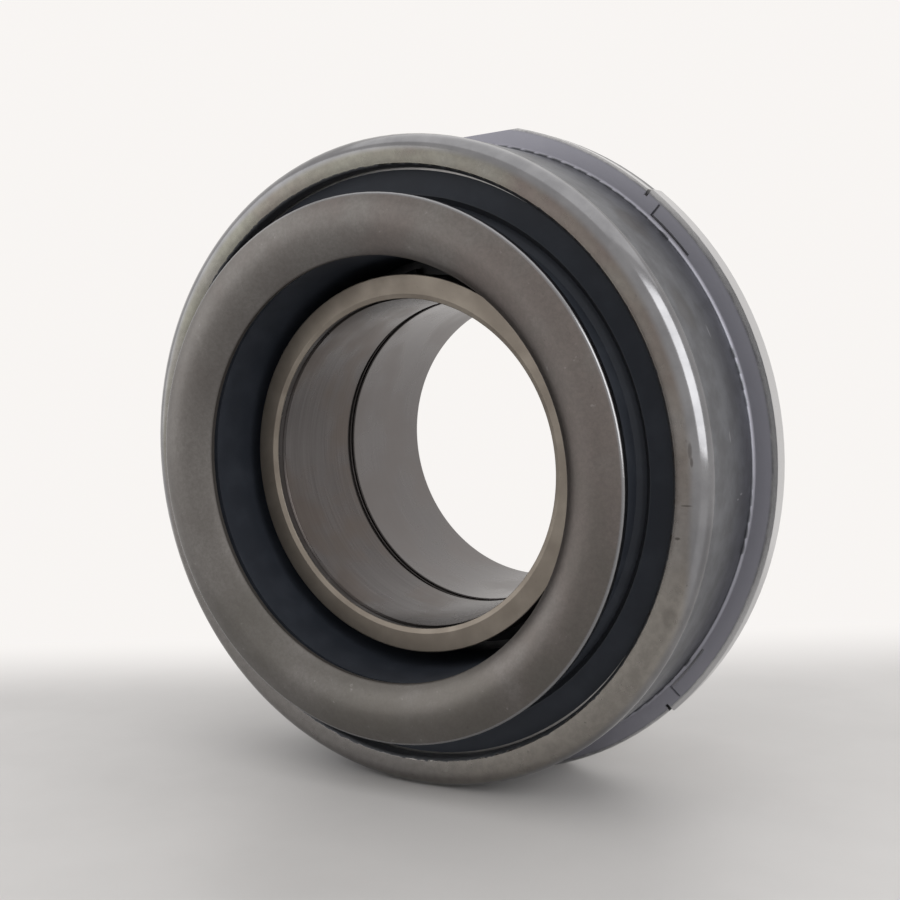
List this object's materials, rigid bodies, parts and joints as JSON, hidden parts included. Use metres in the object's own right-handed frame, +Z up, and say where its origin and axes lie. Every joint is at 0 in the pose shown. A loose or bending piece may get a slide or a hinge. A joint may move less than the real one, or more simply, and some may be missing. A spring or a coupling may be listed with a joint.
{
  "type": "clutch release bearing",
  "caption": "Self-aligning clutch release bearing: guide sleeve, rear fork plate, crimped steel cover and a convex contact ring that turns on balls.",
  "frame": {"origin": "on the bore's axis, in the plane of the carrier plate's fork face, where the release fork pushes", "axes": "+Y along the bore towards the sleeve's tail, so the contact ring faces -Y; +Z up through the upper flat; +X to the right seen from the front"},
  "size_m": [0.0644, 0.0326, 0.0614],
  "materials": {
    "sleeve_steel": "fine turned, lightly oiled",
    "contact_steel": "satin, hardened, with a warm tint",
    "cover_steel": "pressed and tumbled, semi-bright",
    "plate_steel": "pressed, dull",
    "bearing_steel": "ground",
    "ball_steel": "polished",
    "seal_rubber": "matt",
    "cage_plastic": "moulded"
  },
  "bodies": {
    "carrier": {"guide_sleeve": "sleeve_steel", "carrier_plate": "plate_steel", "snap_ring": "bearing_steel", "cover": "cover_steel", "wave_washer": "bearing_steel"},
    "slide_plate": {"slide_washer": "bearing_steel"},
    "bearing": {"outer_race": "bearing_steel", "seal_core": "plate_steel", "front_seal": "seal_rubber", "rear_shield": "plate_steel"},
    "rotor": {"contact_race": "contact_steel", "inner_dust_sleeve": "seal_rubber"},
    "cage": {"ball_cage": "cage_plastic", "ball_01": "ball_steel", "ball_02": "ball_steel", "ball_03": "ball_steel", "ball_04": "ball_steel", "ball_05": "ball_steel", "ball_06": "ball_steel", "ball_07": "ball_steel", "ball_08": "ball_steel", "ball_09": "ball_steel", "ball_10": "ball_steel", "ball_11": "ball_steel", "ball_12": "ball_steel", "ball_13": "ball_steel", "ball_14": "ball_steel", "ball_15": "ball_steel", "ball_16": "ball_steel"}
  },
  "joints": [
    {"name": "align_side", "type": "slide", "parent": "carrier", "child": "slide_plate", "axis": [1, 0, 0], "range_m": [-0.0004, 0.0004]},
    {"name": "align_height", "type": "slide", "parent": "slide_plate", "child": "bearing", "axis": [0, 0, 1], "range_m": [-0.0004, 0.0004]},
    {"name": "ring_spin", "type": "hinge", "parent": "bearing", "child": "rotor", "pos_m": [0, -0.00795, 0], "axis": [0, -1, 0], "continuous": true},
    {"name": "cage_spin", "type": "hinge", "parent": "bearing", "child": "cage", "pos_m": [0, -0.00795, 0], "axis": [0, -1, 0], "continuous": true}
  ],
  "couplings": [
    {"joint": "cage_spin", "follows": "ring_spin", "ratio": 0.444}
  ]
}
